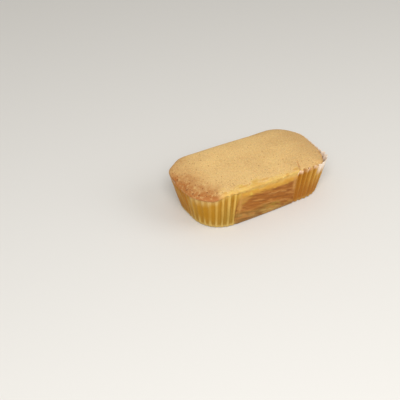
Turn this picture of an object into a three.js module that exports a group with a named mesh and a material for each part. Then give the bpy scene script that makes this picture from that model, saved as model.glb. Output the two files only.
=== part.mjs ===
// A small loaf-shaped lemon sponge cake that stands in the pleated paper case it was baked in.
// Millimetres, +Z up. X runs along the cake and -Y is its near long side.
// The origin is on the surface it stands on, under the middle of the cake.
import * as THREE from 'three';
import { LoftGeometry } from 'three/addons/geometries/LoftGeometry.js';

// Case outline at the foot and at the rim. The left end leans out further than the right,
// the rim is a little askew and lower on its far side, and the long sides bow out slightly.
const footReachLeft = 53.1;
const footReachRight = 57.3;
const footHalfWidth = 28.9;
const footCornerLeft = 22.6;
const footCornerRight = 24;
const rimReach = 61.4;
const rimShift = 0.2;
const rimHalfWidth = 31.2;
const rimCorner = 23;
const rimSkewLeft = 0.045;
const rimSkewRight = 0.07;
const rimHeightLeft = 30.6;
const rimHeightRight = 28.4;
const rimFarDrop = 0.7;
const panelBow = 0.3;

// Paper: sheet thickness, the round where the wall meets the floor, and steps up the wall.
const paperThickness = 0.4;
const footRound = 1.2;
const footRoundSteps = 2;
const wallSteps = 3;

// A flat panel on each long side, and pleats round each end from panel to panel.
const panelLeft = 28.3;
const panelRight = 21.2;
const panelSteps = 8;
const pleatsLeft = 21;
const pleatsRight = 26;
const footPleatDepth = 0.7;
const rimPleatDepth = 1.7;
const foldShare = 0.12;
const pleatDepthSpread = 0.25;
const pleatDepthTurn = 5.8;
const grooveDrift = 0.07;
const grooveDriftTurn = 2.4;
const settlePleats = 1.2;
const rimScallop = 0.3;

// The cake presses the pleats of the left end flatter by this share, between these shares of the length.
const pressedShare = 0.7;
const pressedAlongStart = 0.6;
const pressedAlongFull = 0.9;

// The paper stands free above the crust by this much at the panels, the pleats and the near
// right corner, which begins and is full at these shares of the length and width.
const panelStand = 0.1;
const pleatStand = 0;
const rightStand = 2;
const rightAlongStart = 0.44;
const rightAlongFull = 0.74;
const rightAcrossStart = 0;
const rightAcrossFull = 0.5;

// At the near left corner the crust spills over a lower stretch of the rim in a soft lip.
const lipRimDrop = 3.2;
const lipClear = 0.35;
const lipOverhang = 1.3;
const lipUnderside = 0.15;
const lipNose = 1.1;
const lipNoseSwell = 0.3;
const lipAlongStart = 0.64;
const lipAlongFull = 0.82;
const lipAcrossStart = -0.5;
const lipAcrossFull = -0.02;
const lipRaiseFull = 0.4;
const lipOutStart = 0.6;

// Top of the cake: a flat dome that falls away in a rounded shoulder.
const topHeightLeft = 33.2;
const topHeightRight = 31.7;
const domePower = 2.6;
const domeRings = 8;
const domeLastShare = 0.96;
const crownReach = 33;
const crownHalfWidth = 3;
const crownCorner = 2.9;
const fluteFadeShare = 0.3;
const meanGroove = 0.5;

// Slow swells of the crust, and the short crease pinched in by the near right edge.
const swellHeight = 0.25;
const swellLengthX = 17;
const swellLengthY = 12;
const creaseDepth = 0.7;
const creaseWidth = 1.6;
const creaseX = 25.4;
const creaseLean = 0.5;
const creaseInnerY = 21;
const creaseOuterY = 28;

// Air left between the cake and the paper.
const cakeGap = 0.4;

const { lerp, smoothstep } = THREE.MathUtils;
const quarterTurn = Math.PI / 2;
const deepestGroove = 1 + pleatDepthSpread;

// One end of a rounded outline, walked from the near panel round to the far panel.
function endPath(reach, panelEdge, halfWidth, corner) {
  const centreX = reach - corner;
  const centreY = halfWidth - corner;
  const path = new THREE.Path();
  path.moveTo(panelEdge, -halfWidth);
  path.lineTo(centreX, -halfWidth);
  path.absarc(centreX, -centreY, corner, -quarterTurn, 0);
  path.lineTo(reach, centreY);
  path.absarc(centreX, centreY, corner, 0, quarterTurn);
  path.lineTo(panelEdge, halfWidth);
  return path;
}

// The outward side of a path that is walked counterclockwise.
function outwardNormal(path, share) {
  const tangent = path.getTangent(share);
  return new THREE.Vector2(tangent.y, -tangent.x);
}

// A rib is one upright line of the case: its places on the foot, rim and crown outlines, its
// outward directions, how deep in a groove it lies (0 on a ridge, about 1 in a groove), and
// whether it belongs to the pleats (1) or a flat panel (0).
function makeRib(foot, rim, crown, footNormal, rimNormal, groove, pleated) {
  const along = rim.x / rimReach;
  const across = rim.y / rimHalfWidth;
  const rightness = (along + 1) / 2;
  rim.x += rimShift - lerp(rimSkewLeft, rimSkewRight, rightness) * rim.y;
  const fullRim = lerp(rimHeightLeft, rimHeightRight, rightness) - rimFarDrop * smoothstep(across, 0, 1);
  const top = lerp(topHeightLeft, topHeightRight, rightness);
  const lip = smoothstep(-along, lipAlongStart, lipAlongFull)
    * smoothstep(-across, lipAcrossStart, lipAcrossFull);
  const right = smoothstep(along, rightAlongStart, rightAlongFull)
    * smoothstep(-across, rightAcrossStart, rightAcrossFull);
  const stand = lerp(lerp(panelStand, pleatStand, pleated), rightStand, right);
  const pressed = 1 - pressedShare * smoothstep(-along, pressedAlongStart, pressedAlongFull);
  return {
    foot, rim, crown, footNormal, rimNormal, fullRim, top, lip, stand,
    groove: groove * pressed,
    crustGroove: pleated * lerp(meanGroove, deepestGroove, right) * pressed,
  };
}

// Ribs of one flat panel, walked counterclockwise on the side that sideSign gives.
function panelRibs(sideSign, startX, endX) {
  const ribs = [];
  const normal = new THREE.Vector2(0, sideSign);
  for (let step = 0; step <= panelSteps; step += 1) {
    const share = step / panelSteps;
    const bow = panelBow * Math.sin(Math.PI * share);
    const place = (halfWidth) => new THREE.Vector2(lerp(startX, endX, share), sideSign * (halfWidth + bow));
    ribs.push(makeRib(
      place(footHalfWidth), place(rimHalfWidth), place(crownHalfWidth), normal, normal, 0, 0,
    ));
  }
  return ribs;
}

// Ribs of one pleated end: each pleat has a flat ridge and a flat groove joined by two flanks.
function endRibs(sideSign, footReach, footCorner, panelEdge, pleats) {
  const footPath = endPath(footReach, panelEdge, footHalfWidth, footCorner);
  const rimPath = endPath(rimReach, panelEdge, rimHalfWidth, rimCorner);
  const crownPath = endPath(crownReach, panelEdge, crownHalfWidth, crownCorner);
  const ribs = [];
  for (let pleat = 0; pleat < pleats; pleat += 1) {
    const middle = 0.5 + grooveDrift * Math.sin(pleat * grooveDriftTurn);
    const depth = 1 + pleatDepthSpread * Math.cos(pleat * pleatDepthTurn);
    const folds = [
      { phase: foldShare, groove: 0 },
      { phase: middle - foldShare, groove: depth },
      { phase: middle + foldShare, groove: depth },
      { phase: 1 - foldShare, groove: 0 },
    ];
    for (const fold of folds) {
      const share = (pleat + fold.phase) / pleats;
      const fromPanel = pleats * Math.min(share, 1 - share);
      const place = (path) => path.getPoint(share).multiplyScalar(sideSign);
      const facing = (path) => outwardNormal(path, share).multiplyScalar(sideSign);
      ribs.push(makeRib(
        place(footPath), place(rimPath), place(crownPath),
        facing(footPath), facing(rimPath),
        fold.groove, smoothstep(fromPanel, 0, settlePleats),
      ));
    }
  }
  return ribs;
}

// All ribs, counterclockwise as seen from above.
const ribs = [
  ...panelRibs(-1, -panelLeft, panelRight),
  ...endRibs(1, footReachRight, footCornerRight, panelRight, pleatsRight),
  ...panelRibs(1, panelRight, -panelLeft),
  ...endRibs(-1, footReachLeft, footCornerLeft, panelLeft, pleatsLeft),
];

// Height of the paper's edge along the ridges, lower under the lip.
function ridgeHeight(rib) {
  return rib.fullRim - lipRimDrop * rib.lip;
}

// Height of the paper's edge on a rib, which dips a little in each groove.
function rimHeight(rib) {
  return ridgeHeight(rib) - rimScallop * rib.groove;
}

// Point of the wall at a height, moved inwards by an inset. Each rib runs straight up.
function wallPoint(rib, height, inset, groove = rib.groove) {
  const rise = height / rib.fullRim;
  const normal = rib.footNormal.clone().lerp(rib.rimNormal, rise).normalize();
  const depth = groove * lerp(footPleatDepth, rimPleatDepth, rise);
  const plan = rib.foot.clone().lerp(rib.rim, rise).addScaledVector(normal, -depth - inset);
  return new THREE.Vector3(plan.x, plan.y, height);
}

// A ring of the wall, with its height on each rib given by a function.
function wallRing(heightOn, inset) {
  return ribs.map((rib) => wallPoint(rib, heightOn(rib), inset));
}

// Rings of the rounded foot, from the flat floor out to the wall.
function footRings(floorHeight, inset) {
  const rings = [];
  for (let step = 0; step <= footRoundSteps; step += 1) {
    const angle = quarterTurn * step / footRoundSteps;
    const height = floorHeight + footRound * (1 - Math.cos(angle));
    rings.push(wallRing(() => height, inset + footRound * (1 - Math.sin(angle))));
  }
  return rings;
}

// Rings of the straight wall between the foot and the edge.
function middleRings(inset) {
  const rings = [];
  for (let step = 1; step < wallSteps; step += 1) {
    rings.push(wallRing((rib) => rimHeight(rib) * step / wallSteps, inset));
  }
  return rings;
}

// A ring drawn together in one point on the upright axis, which closes a loft.
function poleRing(height) {
  return ribs.map(() => new THREE.Vector3(0, 0, height));
}

// The case is one folded sheet: up its outer face, over the edge, down inside and across the floor.
function paperCaseGeometry() {
  const rings = [
    poleRing(0),
    ...footRings(0, 0),
    ...middleRings(0),
    wallRing(rimHeight, 0),
    wallRing(rimHeight, paperThickness),
    ...middleRings(paperThickness).reverse(),
    ...footRings(paperThickness, paperThickness).reverse(),
    poleRing(paperThickness),
  ];
  return new LoftGeometry(rings);
}

// How far the lip has risen over the edge, and then how far it has come out over it.
const lipRaise = (rib) => smoothstep(rib.lip, 0, lipRaiseFull);
const lipOut = (rib) => smoothstep(rib.lip, lipOutStart, 1);

// Height where the crust's edge begins. The edge is as tall as the lip's nose. It ends below the
// free paper, or begins clear above the paper where the lip spills over.
function shoulderHeight(rib) {
  return ridgeHeight(rib) + lerp(-rib.stand - lipNose, lipClear, lipRaise(rib));
}

// Slow swells over the top, and the crease beside the near edge.
function crustRelief(x, y) {
  const swell = swellHeight * Math.sin(x / swellLengthX) * Math.cos(y / swellLengthY);
  const fromCrease = x - creaseX - creaseLean * (y + rimHalfWidth);
  const crease = Math.exp(-((fromCrease / creaseWidth) ** 2)) * smoothstep(-y, creaseInnerY, creaseOuterY);
  return swell - creaseDepth * crease;
}

// Point of the crust's edge at a rise above the paper, with the lip's reach where there is one.
function edgePoint(rib, rise, swell, groove) {
  const inset = paperThickness + cakeGap;
  const reach = (inset + lipOverhang + swell + groove * rimPleatDepth) * lipOut(rib);
  return wallPoint(rib, shoulderHeight(rib) + rise, inset - reach, groove);
}

// A ring of the dome. Lift goes from 0 at the crust's edge to 1 on the crown. The flutes that
// the pleats press into the cake fade out there, and leave the free paper of the right end.
function domeRing(lift) {
  const inward = 1 - (1 - lift * lift) ** (1 / domePower);
  const smoothed = smoothstep(lift, 0, fluteFadeShare);
  return ribs.map((rib) => {
    const edge = edgePoint(rib, lipNose, lipNoseSwell, lerp(rib.groove, rib.crustGroove, smoothed));
    const plan = new THREE.Vector2(edge.x, edge.y).lerp(rib.crown, inward);
    const height = lerp(edge.z, rib.top, lift) + lift * crustRelief(plan.x, plan.y);
    return new THREE.Vector3(plan.x, plan.y, height);
  });
}

// The cake fills the case and domes over it.
function cakeGeometry() {
  const inset = paperThickness + cakeGap;
  const rings = [
    poleRing(inset),
    ...footRings(inset, inset),
    ...middleRings(inset),
    wallRing(shoulderHeight, inset),
    ribs.map((rib) => edgePoint(rib, lipUnderside, 0, rib.groove)),
  ];
  for (let ring = 0; ring <= domeRings; ring += 1) {
    rings.push(domeRing(Math.sin(quarterTurn * domeLastShare * ring / domeRings)));
  }
  rings.push(poleRing((topHeightLeft + topHeightRight) / 2));
  return new LoftGeometry(rings);
}

const crustMaterial = new THREE.MeshStandardMaterial({ color: 0xdeb478, roughness: 0.75, metalness: 0 });
const paperMaterial = new THREE.MeshStandardMaterial({ color: 0xc39a48, roughness: 0.5, metalness: 0 });

const cake = new THREE.Mesh(cakeGeometry(), crustMaterial);
cake.name = 'cake';

const paperCase = new THREE.Mesh(paperCaseGeometry(), paperMaterial);
paperCase.name = 'paper_case';

const lemonCake = new THREE.Group();
lemonCake.add(cake, paperCase);

export default lemonCake;
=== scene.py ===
import math

import bmesh
import bpy
import numpy as np
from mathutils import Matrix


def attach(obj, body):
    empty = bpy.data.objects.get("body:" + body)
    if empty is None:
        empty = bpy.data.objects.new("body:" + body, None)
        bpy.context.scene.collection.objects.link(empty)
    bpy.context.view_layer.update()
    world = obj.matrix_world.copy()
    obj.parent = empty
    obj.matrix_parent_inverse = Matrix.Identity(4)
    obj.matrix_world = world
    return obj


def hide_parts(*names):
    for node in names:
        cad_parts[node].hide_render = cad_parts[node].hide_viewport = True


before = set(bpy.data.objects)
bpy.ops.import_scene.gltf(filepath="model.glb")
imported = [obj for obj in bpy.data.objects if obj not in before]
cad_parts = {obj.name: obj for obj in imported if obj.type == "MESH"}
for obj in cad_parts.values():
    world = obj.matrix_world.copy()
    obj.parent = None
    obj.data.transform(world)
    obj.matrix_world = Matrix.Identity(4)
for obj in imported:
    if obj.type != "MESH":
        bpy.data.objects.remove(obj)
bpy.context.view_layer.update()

print("frame loaded")

mm = 0.001
weldDistance = 0.001 * mm
quarterTurn = math.pi / 2
offEnd = -9  # pleats walked, for a rib that is not on the end asked for


# a + (b - a) * t
def blend(a, b, t):
    return a + (b - a) * t


# 0 below low, 1 above high, and 3t^2 - 2t^3 between them
def ease(value, low, high):
    t = np.clip((value - low) / (high - low), 0, 1)
    return t * t * (3 - 2 * t)


# 1 below low, 0 above high, and eased between them
def fade(value, low, high):
    return 1 - ease(value, low, high)


# A share of an ease; most values of three in the dictionaries are a share and its two limits
def grown(value, share, low, high):
    return share * ease(value, low, high)


# A share of a fade
def faded(value, share, low, high):
    return share * fade(value, low, high)


# 0 before a line, 1 past it, eased over a soft border
def past(value, line, soft):
    return ease(value, line - soft, line + soft)


# Eased up over one range and down over another
def plateau(value, rising, falling):
    return ease(value, *rising) * fade(value, *falling)


# exp(-d^2), where d is the distance from the centre in widths
def bell(value, centre, width):
    return np.exp(-((value - centre) / width) ** 2)


# Smooth noise from -0.5 to 0.5: seeded random values on a square lattice, eased between its corners
def latticeNoise(x, y, seed):
    size = 64
    table = np.random.default_rng(seed).random((size, size)) - 0.5
    column, row = np.floor(x).astype(int), np.floor(y).astype(int)
    u, v = ease(x - column, 0, 1), ease(y - row, 0, 1)
    low = blend(table[column % size, row % size], table[(column + 1) % size, row % size], u)
    high = blend(table[column % size, (row + 1) % size], table[(column + 1) % size, (row + 1) % size], u)
    return blend(low, high, v)


# Sum of lattice noises, each given as its cell's two sides, its share and its seed
def noises(x, y, layers):
    return sum(share * latticeNoise(x / sideX, y / sideY, seed) for sideX, sideY, share, seed in layers)


# Millimetres, as in the part's source. Ranges named along and across are shares of the rim's half sides,
# those named walk are pleats counted along an end, counterclockwise.
caseForm = {
    # outlines of foot and rim
    "footReachLeft": 53.1, "footReachRight": 57.3, "footHalfWidth": 28.9,
    "footCornerLeft": 22.6, "footCornerRight": 24.0,
    "rimReach": 61.4, "rimShift": 0.2, "rimHalfWidth": 31.2, "rimCorner": 23.0,
    "rimSkewLeft": 0.045, "rimSkewRight": 0.07,
    "rimHeightLeft": 30.6, "rimHeightRight": 28.4, "rimFarDrop": 0.7,
    # panels and pleats
    "panelLeft": 28.3, "panelRight": 21.2, "panelBow": 0.3, "panelColumns": 104,
    "pleatsLeft": 21, "pleatsRight": 26, "pleatColumns": 14,
    "footPleatDepth": 0.7, "rimPleatDepth": 1.7, "ridgeShare": 0.07, "grooveShare": 0.14,
    "depthSpread": 0.25, "depthTurn": 5.8, "drift": 0.07, "driftTurn": 2.4,
    "settlePleats": 1.2, "rimScallop": 0.3, "pressedShare": 0.75, "pressedAlong": (0.6, 0.9),
    "pressedFar": (0.8, 0.66, 0.86),
    # how far the paper stands over the crust
    "panelStand": 0.1, "pleatStand": 0.0, "rightStand": 2.0, "farRightStand": 0.8, "farLeftStand": 0.2,
    "rightAlong": (0.44, 0.74), "rightAcross": (0.0, 0.5), "farAlong": (0.5, 0.75), "farAcross": (-0.4, 0.0),
    "edgeShow": 0.4, "edgeShowWalk": (12.0, 3.0), "farRise": (0.5, 0.5, 0.9),
    "cornerRise": 1.0, "cornerRiseWalk": (21.0, 2.4),
    # crust over the near edge
    "lipAlong": (0.68, 0.83), "lipAcross": (-0.5, -0.02), "lipRimDrop": 3.2, "rollPleats": (0.1, 1.1),
    # pushed-in edges, flattened pleats and loops
    "pull": 2.7, "pullStart": (7.6, 10.0), "pullEnd": (11.5, 17.0), "pullRise": (0.45, 1.0),
    "pullLeft": 1.8, "pullLeftWalk": (4.6, 1.7),
    "smoothShare": 0.92, "smoothHeight": (12.0, 24.0), "smoothWalk": (4.5, 6.0), "smoothFar": (0.0, 0.4),
    "smoothLevel": 0.5, "levelStart": (8.5, 10.0), "levelEnd": (10.5, 13.0),
    "loopStart": (7.1, 7.6), "loopEnd": (9.4, 9.9),
    # top of the dome
    "crownReach": 33.0, "crownHalfWidth": 3.0, "crownCorner": 2.9, "topLeft": 33.2, "topRight": 31.7,
}


# One pleated end of a rounded outline, by the share of its length: a straight run, a quarter circle,
# the end, a quarter circle and a straight run. Gives places and outward directions.
def endOutline(share, reach, panelEdge, halfWidth, corner):
    side = reach - corner - panelEdge
    arc = quarterTurn * corner
    end = 2 * (halfWidth - corner)
    walked = share * (2 * side + 2 * arc + end)
    turn = np.clip((walked - side) / corner, 0, quarterTurn) - quarterTurn
    turn = turn + np.clip((walked - side - arc - end) / corner, 0, quarterTurn)
    x = reach - corner + corner * np.cos(turn)
    x = x - np.maximum(side - walked, 0) - np.maximum(walked - side - 2 * arc - end, 0)
    y = corner * np.sin(turn) - (halfWidth - corner) + np.clip(walked - side - arc, 0, end)
    return np.stack((x, y), -1), np.stack((np.cos(turn), np.sin(turn)), -1)


# Upright ribs of one flat panel: straight along X, bowed out by half a sine
def panelRibs(form, side, startX, endX):
    share = np.arange(form["panelColumns"]) / form["panelColumns"]
    bow = form["panelBow"] * np.sin(math.pi * share)
    x = blend(startX, endX, share)
    out = np.stack((np.zeros_like(x), np.full_like(x, side)), -1)
    places = {}
    for name in ("foot", "rim", "crown"):
        places[name] = np.stack((x, side * (form[name + "HalfWidth"] + bow)), -1)
    none = np.zeros_like(x)
    return {**places, "footOut": out, "rimOut": out, "phase": none, "pleat": none - 1, "fromPanel": none,
            "walked": none + offEnd}


# Upright ribs of one pleated end, the left one turned half round by the side's sign
def endRibs(form, side, name):
    pleats, panelEdge = form["pleats" + name], form["panel" + name]
    count = pleats * form["pleatColumns"]
    share = np.arange(count) / count
    reach, corner = form["footReach" + name], form["footCorner" + name]
    foot, footOut = endOutline(share, reach, panelEdge, form["footHalfWidth"], corner)
    rim, rimOut = endOutline(share, form["rimReach"], panelEdge, form["rimHalfWidth"], form["rimCorner"])
    crown, _ = endOutline(share, form["crownReach"], panelEdge, form["crownHalfWidth"], form["crownCorner"])
    walked = share * pleats
    return {
        "foot": side * foot, "rim": side * rim, "crown": side * crown,
        "footOut": side * footOut, "rimOut": side * rimOut,
        "phase": walked % 1, "pleat": np.floor(walked), "fromPanel": np.minimum(walked, pleats - walked),
        "walked": walked,
    }


# All ribs, counterclockwise as seen from above, with the heights and shares that each one has
def caseRibs(form):
    left, right = form["panelLeft"], form["panelRight"]
    sections = (
        panelRibs(form, 1, right, -left),
        endRibs(form, -1, "Left"),
        panelRibs(form, -1, -left, right),
        endRibs(form, 1, "Right"),
    )
    ribs = {key: np.concatenate([section[key] for section in sections]) for key in sections[0]}
    along = ribs["rim"][:, 0] / form["rimReach"]
    across = ribs["rim"][:, 1] / form["rimHalfWidth"]
    rightness = (along + 1) / 2
    skew = blend(form["rimSkewLeft"], form["rimSkewRight"], rightness)
    ribs["rim"][:, 0] += form["rimShift"] - skew * ribs["rim"][:, 1]
    ribs["along"], ribs["across"] = along, across
    ribs["leftWalk"] = np.where(along < 0, ribs["walked"], offEnd)
    ribs["rightWalk"] = walk = np.where(along > 0, ribs["walked"], offEnd)
    ribs["pleated"] = ease(ribs["fromPanel"], 0, form["settlePleats"])
    ribs["leftPress"] = ease(-along, *form["pressedAlong"])
    ribs["leftPress"] *= 1 - grown(across, *form["pressedFar"])
    ribs["pressed"] = 1 - form["pressedShare"] * ribs["leftPress"]
    ribs["right"] = ease(along, *form["rightAlong"]) * ease(-across, *form["rightAcross"])
    ribs["lip"] = ease(-along, *form["lipAlong"]) * ease(-across, *form["lipAcross"])
    ribs["fullRim"] = blend(form["rimHeightLeft"], form["rimHeightRight"], rightness)
    ribs["fullRim"] -= form["rimFarDrop"] * ease(across, 0, 1)
    ribs["ridge"] = ribs["fullRim"] - form["lipRimDrop"] * ribs["lip"]
    # the crust rolls over the near edge from the lip to just past the panel
    rolled = np.where(along < 0, 1, fade(ribs["fromPanel"], *form["rollPleats"]))
    ribs["roll"] = np.where(across < 0, rolled, 0.0)
    # the edge is pushed in at the right end and at the far left corner
    ribs["pull"] = form["pull"] * plateau(walk, form["pullStart"], form["pullEnd"])
    ribs["pull"] += form["pullLeft"] * bell(ribs["leftWalk"], *form["pullLeftWalk"])
    # pleats flatten out towards the edge on the right and the far side, but for two loops
    ribs["loops"] = plateau(walk, form["loopStart"], form["loopEnd"])
    smoothRight = ease(walk, *form["smoothWalk"]) * (1 - ribs["loops"])
    ribs["smooth"] = np.maximum(smoothRight, ease(across, *form["smoothFar"]))
    ribs["smoothLevel"] = form["smoothLevel"] * plateau(walk, form["levelStart"], form["levelEnd"])
    # the paper stands over the crust most on the right, and the crust a little over the far edge
    farSide = ease(across, *form["farAcross"])
    stand = blend(form["panelStand"], form["pleatStand"], ribs["pleated"])
    stand = blend(stand, form["farRightStand"], ease(along, *form["farAlong"]) * farSide)
    stand = blend(stand, form["farLeftStand"], ease(-along, *form["farAlong"]) * farSide)
    stand = blend(stand, form["rightStand"], ribs["right"])
    stand = stand + form["edgeShow"] * bell(walk, *form["edgeShowWalk"])
    stand = stand - grown(across, *form["farRise"])
    ribs["stand"] = stand - form["cornerRise"] * bell(walk, *form["cornerRiseWalk"])
    return ribs


# How deep in its pleat a rib lies: up one eased flank and down another round a drifting middle, or a squared
# sine where the pleats open into loops
def grooveOf(form, ribs):
    ridge, hollow = form["ridgeShare"], form["grooveShare"]
    pleat, phase = ribs["pleat"], ribs["phase"]
    middle = 0.5 + form["drift"] * np.sin(pleat * form["driftTurn"])
    depth = 1 + form["depthSpread"] * np.cos(pleat * form["depthTurn"])
    flanks = ease(phase, ridge, middle - hollow) * fade(phase, middle + hollow, 1 - ridge)
    flanks = blend(flanks, np.sin(math.pi * phase) ** 2, ribs["loops"])
    return depth * flanks * ribs["pressed"]


# Points of the wall at heights (rows by ribs): from foot to rim in a straight line, moved in along the
# outward direction by the pleat's depth there, by the push at the edge and by an inset. Where the pleats
# flatten out, their depth blends to one level towards the edge.
def wallPoints(form, ribs, height, inset, groove):
    rise = (height / ribs["fullRim"])[..., None]
    flattened = form["smoothShare"] * ribs["smooth"] * ease(height, *form["smoothHeight"])
    groove = blend(groove, ribs["smoothLevel"], flattened)
    out = blend(ribs["footOut"], ribs["rimOut"], rise)
    out = out / np.linalg.norm(out, axis=-1, keepdims=True)
    depth = groove * blend(form["footPleatDepth"], form["rimPleatDepth"], rise[..., 0])
    depth = depth + ribs["pull"] * ease(rise[..., 0], *form["pullRise"])
    plan = blend(ribs["foot"], ribs["rim"], rise) - out * (depth + inset)[..., None]
    return np.concatenate((plan, height[..., None]), -1)


# Heights and insets of a rounded foot: a quarter circle
def footArc(look, rim):
    angle = np.linspace(0, quarterTurn, look["footRows"])[:, None] + 0 * rim
    return look["footRound"] * (1 - np.cos(angle)), look["footRound"] * (1 - np.sin(angle))


# A closed skin from rings of points (rings by columns by 3, millimetres): a pole closes the first ring, and
# the last one either has a pole too or is folded flat, and its two halves are welded along a line. Shading
# breaks at one sharp ring.
def ringSkin(name, rings, poles, marks, sharpRing):
    rowCount, columnCount = rings.shape[:2]
    points = np.concatenate((rings.reshape(-1, 3), poles)) * mm
    row, column = np.meshgrid(np.arange(rowCount - 1), np.arange(columnCount), indexing="ij")
    after = (column + 1) % columnCount
    start, above = row * columnCount, (row + 1) * columnCount
    quads = np.stack((start + column, start + after, above + after, above + column), -1).reshape(-1, 4)
    around = np.arange(columnCount)
    following = (around + 1) % columnCount
    firstPole, lastRow = rowCount * columnCount, (rowCount - 1) * columnCount
    faces = quads.tolist() + np.stack((following, around, np.full_like(around, firstPole)), -1).tolist()
    if len(poles) > 1:
        lastPole = np.full_like(around, firstPole + 1)
        faces += np.stack((lastRow + around, lastRow + following, lastPole), -1).tolist()
    mesh = bpy.data.meshes.new(name)
    mesh.from_pydata(points.tolist(), [], faces)
    mesh.polygons.foreach_set("use_smooth", np.ones(len(mesh.polygons), bool))
    corners = np.empty(2 * len(mesh.edges), int)
    mesh.edges.foreach_get("vertices", corners)
    sharp = np.all(corners.reshape(-1, 2) // columnCount == sharpRing, axis=1)
    mesh.attributes.new("sharp_edge", "BOOLEAN", "EDGE").data.foreach_set("value", sharp)
    for markName, values in marks.items():
        layer = mesh.attributes.new(markName, "FLOAT", "POINT")
        values = values + 0 * rings[..., 0]
        poleValues = (values[0].mean(), values[-1].mean())[:len(poles)]
        layer.data.foreach_set("value", np.concatenate((values.reshape(-1), poleValues)).astype(np.float32))
    if len(poles) == 1:
        welded = bmesh.new()
        welded.from_mesh(mesh)
        bmesh.ops.remove_doubles(welded, verts=welded.verts, dist=weldDistance)
        welded.to_mesh(mesh)
        welded.free()
    mesh.update()
    piece = bpy.data.objects.new(name, mesh)
    bpy.context.scene.collection.objects.link(piece)
    return piece


ribs = caseRibs(caseForm)
grooves = grooveOf(caseForm, ribs)
nearSign = np.where(ribs["across"] < 0, 1.0, -1.0)  # the far panel is the near one turned half round
print("case ribs:", len(grooves))

# line between crust and paper, shared by both pieces
borderLook = {"wander": ((5.2, 3.1, 3.0, 24), (1.9, 1.4, 1.8, 23)), "height": (-3.4, 1.6)}


# Share of crust colour by the edge: 0 well below it, 1 above it, across a line that wanders along the case
def crustShare(look, along, height):
    return ease(height - ribs["ridge"] + noises(along, height, look["wander"]), *look["height"])


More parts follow.
